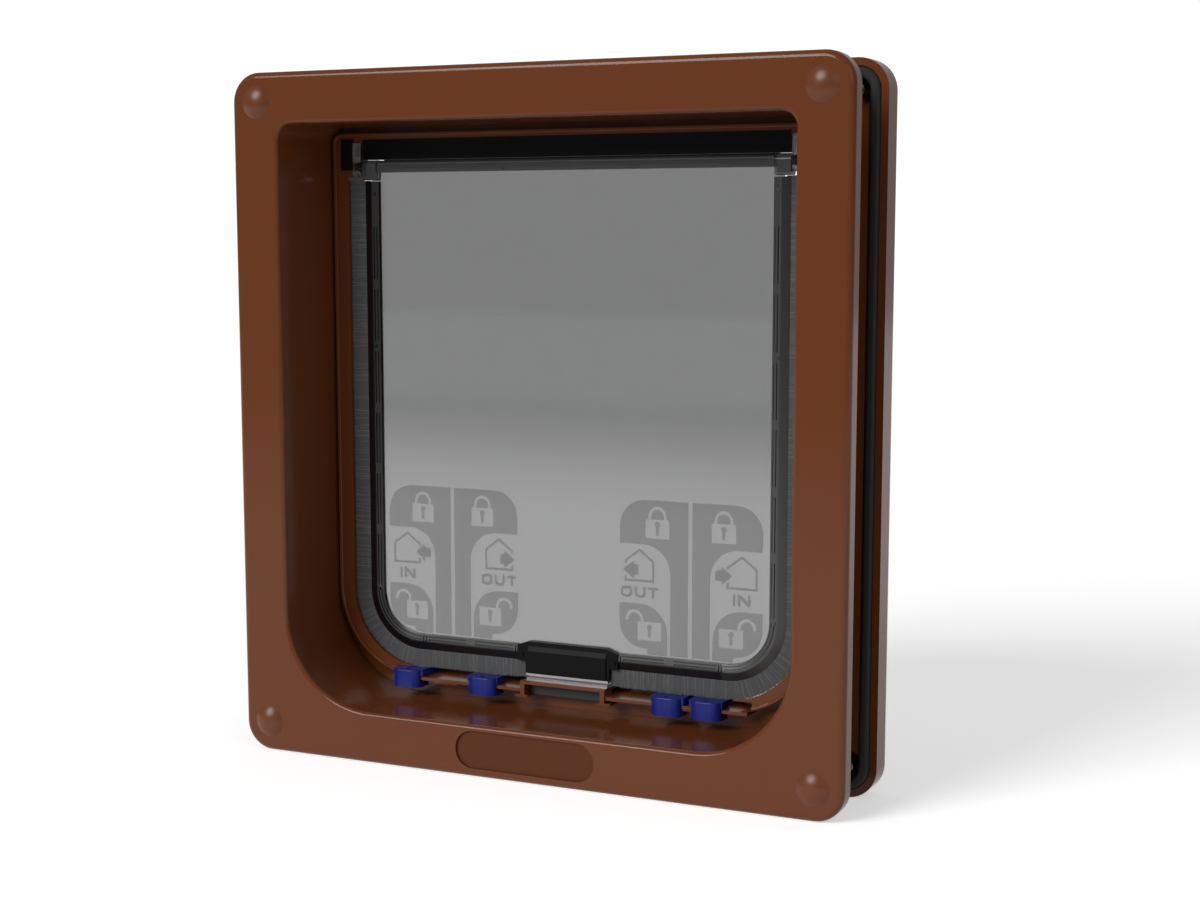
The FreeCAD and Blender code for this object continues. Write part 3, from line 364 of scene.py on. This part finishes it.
# body, shackle, and a keyhole of a circle and a slot in one outline
def padlock(across, up, lift=False):
    half, high = lock["half"], lock["high"]
    body = np.array([(-1, -1), (1, -1), (1, 1), (-1, 1)]) * (half, high / 2) + (across, up)
    top = up + high / 2
    bow = (lock["shackle"], lock["shackleWidth"])
    if lift:
        aside, rise = lock["lifted"]
        shackle = arch(across + half + aside, top + rise, *bow, 180, lock["liftedEnd"])
        shackle[[0, -1], 1] = top + lock["liftedFoot"]
    else:
        shackle = arch(across, top + lock["shut"], *bow, 0, 180, lock["legs"])
    circle = np.radians(np.arange(-60, 241, 30))
    eye = np.column_stack([np.cos(circle), np.sin(circle)]) * lock["keyhole"] + (0, lock["keyholeUp"])
    wide, low = lock["keyWidth"], lock["keyFoot"]
    key = np.vstack([[(wide, low)], eye, [(-wide, low)]]) + (across, up)
    return body, shackle, key


# letters, in mm: their height and stroke, the radii outside and inside their bends, and the width of each;
# notch is where the slant of N leaves its upright, in strokes
letter = {"high": 3.4, "bar": 0.8, "gap": 0.8, "outside": 1.3, "inside": 0.7, "notch": 1.5,
          "wide": {"O": 3.8, "U": 3.6, "T": 3.4, "I": 0.8, "N": 4.0}}


# letters by their outlines, each from its own left foot, and the width of the word
def glyphs(word):
    high, bar, outside, inside = letter["high"], letter["bar"], letter["outside"], letter["inside"]
    roof = high - bar
    left, shapes = 0.0, []
    for sign in word:
        wide = letter["wide"][sign]
        far, post, notch = wide - bar, (wide - bar) / 2, bar * letter["notch"]
        if sign == "O":
            rings = [rounded([(0, 0, outside), (wide, 0, outside),
                              (wide, high, outside), (0, high, outside)]),
                     rounded([(bar, bar, inside), (far, bar, inside),
                              (far, roof, inside), (bar, roof, inside)])]
        if sign == "U":
            rings = [rounded([(0, high), (0, 0, outside), (wide, 0, outside), (wide, high), (far, high),
                              (far, bar, inside), (bar, bar, inside), (bar, high)])]
        if sign == "T":
            rings = [np.array([(post, 0), (wide - post, 0), (wide - post, roof), (wide, roof),
                               (wide, high), (0, high), (0, roof), (post, roof)])]
        if sign == "I":
            rings = [np.array([(0, 0), (wide, 0), (wide, high), (0, high)])]
        if sign == "N":
            rings = [np.array([(0, 0), (bar, 0), (bar, high - notch), (far, 0), (wide, 0), (wide, high),
                               (far, high), (far, notch), (bar, high), (0, high)])]
        shapes += [points + (left, 0) for points in rings]
        left += wide + letter["gap"]
    return shapes, left - letter["gap"]


# flat curves filled and made a mesh, then turned upright: (across, up) becomes (across, depth, up)
def printed(name, rings, centre, side, ink):
    curve = bpy.data.curves.new(name, "CURVE")
    curve.dimensions = "2D"
    curve.fill_mode = "BOTH"
    for points in rings:
        points = points[::-1] if side < 0 else points
        ring(curve, (points * (side, 1) + (centre, 0)) * mm)
    flat = bpy.data.objects.new(name, curve)
    bpy.context.scene.collection.objects.link(flat)
    bpy.context.view_layer.update()
    mesh = bpy.data.meshes.new_from_object(flat.evaluated_get(bpy.context.evaluated_depsgraph_get()))
    bpy.data.objects.remove(flat)
    spots = np.zeros(len(mesh.vertices) * 3)
    mesh.vertices.foreach_get("co", spots)
    spots = spots.reshape(-1, 3)
    depth = (window["depth"] - printing["panelHalf"] - printing["proud"]) * mm
    upright = np.column_stack([spots[:, 0], np.full(len(spots), depth), spots[:, 1]])
    mesh.vertices.foreach_set("co", upright.ravel())
    mesh.materials.clear()
    mesh.materials.append(ink)
    mesh.update()
    addPiece(name, mesh, "flap")


# One column of the print, in mm. Across is measured outward from the middle line of its pair, up from the
# foot of the frame. The arrow of OUT leaves the house outward, the arrow of IN comes in from the middle.
fields = {
    "head": [(0.65, 83.3), (23.15, 83.3, 8.2), (23.15, 69.85),
             (6.45, 69.85, 8.9), (6.45, 36.3), (0.65, 36.3)],
    "foot": [(23.25, 51.6), (7.4, 51.6, 8.9), (7.4, 36.2),
             (13.8, 36.2), (14.1, 37.9, 0.8), (23.25, 37.9, 8.2)],
    "shutLock": (10.75, 74.65), "openLock": (13.3, 43.3),
}
signs = {
    "IN": {"start": 8.05, "barb": 10.2, "tip": 13.35, "level": 62.1, "wall": 12.05, "far": 21.25},
    "OUT": {"start": 17.05, "barb": 18.45, "tip": 22.15, "level": 61.9, "wall": 21.25, "far": 12.05},
}
arrow = {"shaft": 1.55, "wing": 2.8, "gap": 1.9}
house = {"low": 58.6, "eaves": 64.6, "top": 68.0, "ridge": 16.6, "line": 0.65}
words = {"middle": 16.6, "low": 53.4}


# two fields with their padlocks cut out, a house with its arrow, and the word
def column(name, word, pairSide, side):
    centre = pairSide * printing["pair"]
    shapes = [rounded(fields["head"]), *padlock(*fields["shutLock"]),
              rounded(fields["foot"]), *padlock(*fields["openLock"], lift=True)]
    printed("printField_" + name, shapes, centre, side, inks["field"])
    sign = signs[word]
    start, barb, tip, level = sign["start"], sign["barb"], sign["tip"], sign["level"]
    shaft, wing, gap = arrow["shaft"], arrow["wing"], arrow["gap"]
    pointer = np.array([(start, level - shaft), (barb, level - shaft), (barb, level - wing), (tip, level),
                        (barb, level + wing), (barb, level + shaft), (start, level + shaft)])
    wall, far, low, eaves = sign["wall"], sign["far"], house["low"], house["eaves"]
    walls = stroke([(wall, level - gap), (wall, low), (far, low), (far, eaves),
                    (house["ridge"], house["top"]), (wall, eaves), (wall, level + gap)], house["line"])
    printed("printHouse_" + name, [pointer, walls], centre, side, inks["line"])
    shapes, wide = glyphs(word)
    left = centre + side * words["middle"] - wide / 2
    printed("printWord_" + name, [points + (0, words["low"]) for points in shapes], left, 1, inks["line"])


for pairName, pairSide in sides.items():
    for columnName, side in sides.items():
        column(pairName + "_" + columnName, "IN" if side == pairSide else "OUT", pairSide, side)
print("print drawn")

# the photograph's camera and two lights
camera = {"place": (0.27565, -0.53323, 0.16303), "ahead": (-0.43338, 0.89134, -0.13312), "lens": 60.45,
          "shift": 52.34 / 1200}
key = {"from": (-0.38, -0.8, 0.5), "strength": 2.15, "angle": 30}
fill = {"place": (1.3, -1.2, 0.9), "towards": (0, 0, 0.1), "size": 1.2, "power": 3}


# the item's matrix from its place and the way it looks: its right side is ahead x up, so it stays level
def aim(item, place, ahead):
    forward = np.array(ahead, float)
    forward = forward / np.linalg.norm(forward)
    right = np.cross(forward, (0, 0, 1))
    right = right / np.linalg.norm(right)
    turn = np.eye(4)
    turn[:3] = np.column_stack([right, np.cross(right, forward), -forward, place])
    item.matrix_world = Matrix(turn.tolist())


# a camera or a lamp in the scene, at its place and looking ahead
def addViewer(name, data, place, ahead):
    made = bpy.data.objects.new(name, data)
    bpy.context.scene.collection.objects.link(made)
    aim(made, place, ahead)
    return made


lensData = bpy.data.cameras.new("camera")
lensData.lens = camera["lens"]
lensData.sensor_width = 36
lensData.shift_y = camera["shift"]
lensData.clip_start = 0.01
bpy.context.scene.camera = addViewer("camera", lensData, camera["place"], camera["ahead"])

sunData = bpy.data.lights.new("key", "SUN")
sunData.energy = key["strength"]
sunData.angle = math.radians(key["angle"])
addViewer("key", sunData, key["from"], -np.array(key["from"]))
lampData = bpy.data.lights.new("fill", "AREA")
lampData.shape = "DISK"
lampData.size = fill["size"]
lampData.energy = fill["power"]
addViewer("fill", lampData, fill["place"], np.array(fill["towards"]) - np.array(fill["place"]))

# The floor and the wall behind stay white where they are seen. The air's strength by the kind of ray:
# diffuse is what it sheds on things, seen is straight or through the panel, glossy and behind are the air
# and the wall where they are mirrored.
ground = {"side": 3.0, "front": -1.2, "near": -0.4, "far": -1.1, "back": 3.0, "high": 4.0,
          "color": (0.9, 0.9, 0.9, 1), "rough": 0.9, "glow": 0.49}
air = {"diffuse": 0.25, "seen": 1.08, "glossy": 0.2, "behind": 0.5}


# a number that depends on the kind of ray: the start value plus a weight for each kind
def byRay(tree, start, weights):
    path = tree.nodes.new("ShaderNodeLightPath")
    total = None
    for kind, weight in weights.items():
        step = tree.nodes.new("ShaderNodeMath")
        step.operation = "MULTIPLY_ADD"
        tree.links.new(path.outputs[kind], step.inputs[0])
        step.inputs[1].default_value = weight
        step.inputs[2].default_value = start
        if total is not None:
            tree.links.new(total, step.inputs[2])
        total = step.outputs["Value"]
    return total


# strength of the air or the wall, where mirrored rays get a value of their own
def airLight(tree, mirrored):
    rise = air["seen"] - air["diffuse"]
    return byRay(tree, air["diffuse"], {"Is Camera Ray": rise, "Is Transmission Ray": rise,
                                        "Is Glossy Ray": mirrored - air["diffuse"]})


# The floor is matt and white where it is seen, mirrored or looked at through the panel. For mirrored rays it
# fades to the strength of the air in front of the object, from its near line to its far line.
def floorPaint():
    material = shader("floorPaint", ground["color"], ground["rough"], Specular_IOR_Level=0.0,
                      Emission_Color=(1, 1, 1, 1))
    tree = material.node_tree
    surface = tree.nodes["Principled BSDF"]
    glow = ground["glow"]
    seen = byRay(tree, 0, {"Is Camera Ray": glow, "Is Glossy Ray": glow, "Is Transmission Ray": glow})
    tree.links.new(seen, surface.inputs["Emission Strength"])
    place = tree.nodes.new("ShaderNodeTexCoord")
    parts = tree.nodes.new("ShaderNodeSeparateXYZ")
    fade = tree.nodes.new("ShaderNodeMapRange")
    fade.interpolation_type = "SMOOTHSTEP"
    fade.inputs["From Min"].default_value = ground["near"]
    fade.inputs["From Max"].default_value = ground["far"]
    tree.links.new(place.outputs["Object"], parts.inputs["Vector"])
    tree.links.new(parts.outputs["Y"], fade.inputs["Value"])
    part = tree.nodes.new("ShaderNodeMath")
    part.operation = "MULTIPLY"
    tree.links.new(fade.outputs["Result"], part.inputs[0])
    tree.links.new(byRay(tree, 0, {"Is Glossy Ray": 1}), part.inputs[1])
    dim = tree.nodes.new("ShaderNodeEmission")
    dim.inputs["Strength"].default_value = air["glossy"]
    mix = tree.nodes.new("ShaderNodeMixShader")
    tree.links.new(part.outputs["Value"], mix.inputs["Fac"])
    tree.links.new(surface.outputs["BSDF"], mix.inputs[1])
    tree.links.new(dim.outputs["Emission"], mix.inputs[2])
    tree.links.new(mix.outputs["Shader"], tree.nodes["Material Output"].inputs["Surface"])
    return material


# the wall behind sheds no more light than the air, is white where it is seen and dimmer where it is mirrored
def wallPaint():
    material = shader("wallPaint", (0, 0, 0, 1), 1.0, Specular_IOR_Level=0.0, Emission_Color=(1, 1, 1, 1))
    tree = material.node_tree
    tree.links.new(airLight(tree, air["behind"]), tree.nodes["Principled BSDF"].inputs["Emission Strength"])
    return material


# one flat four-cornered sheet of the studio
def studioSheet(name, corners, material):
    mesh = bpy.data.meshes.new(name)
    mesh.from_pydata(corners, [], [(0, 1, 2, 3)])
    mesh.materials.append(material)
    made = bpy.data.objects.new(name, mesh)
    bpy.context.scene.collection.objects.link(made)


far, front, back, high = ground["side"], ground["front"], ground["back"], ground["high"]
studioSheet("floor", [(-far, front, 0), (far, front, 0), (far, back, 0), (-far, back, 0)], floorPaint())
studioSheet("backdrop", [(-far, back, 0), (far, back, 0), (far, back, high), (-far, back, high)],
            wallPaint())

world = bpy.data.worlds.new("studio")
bpy.context.scene.world = world
world.use_nodes = True
sky = world.node_tree.nodes["Background"]
sky.inputs["Color"].default_value = (1, 1, 1, 1)
world.node_tree.links.new(airLight(world.node_tree, air["glossy"]), sky.inputs["Strength"])
bpy.context.scene.view_settings.view_transform = "Standard"
print("studio ready")
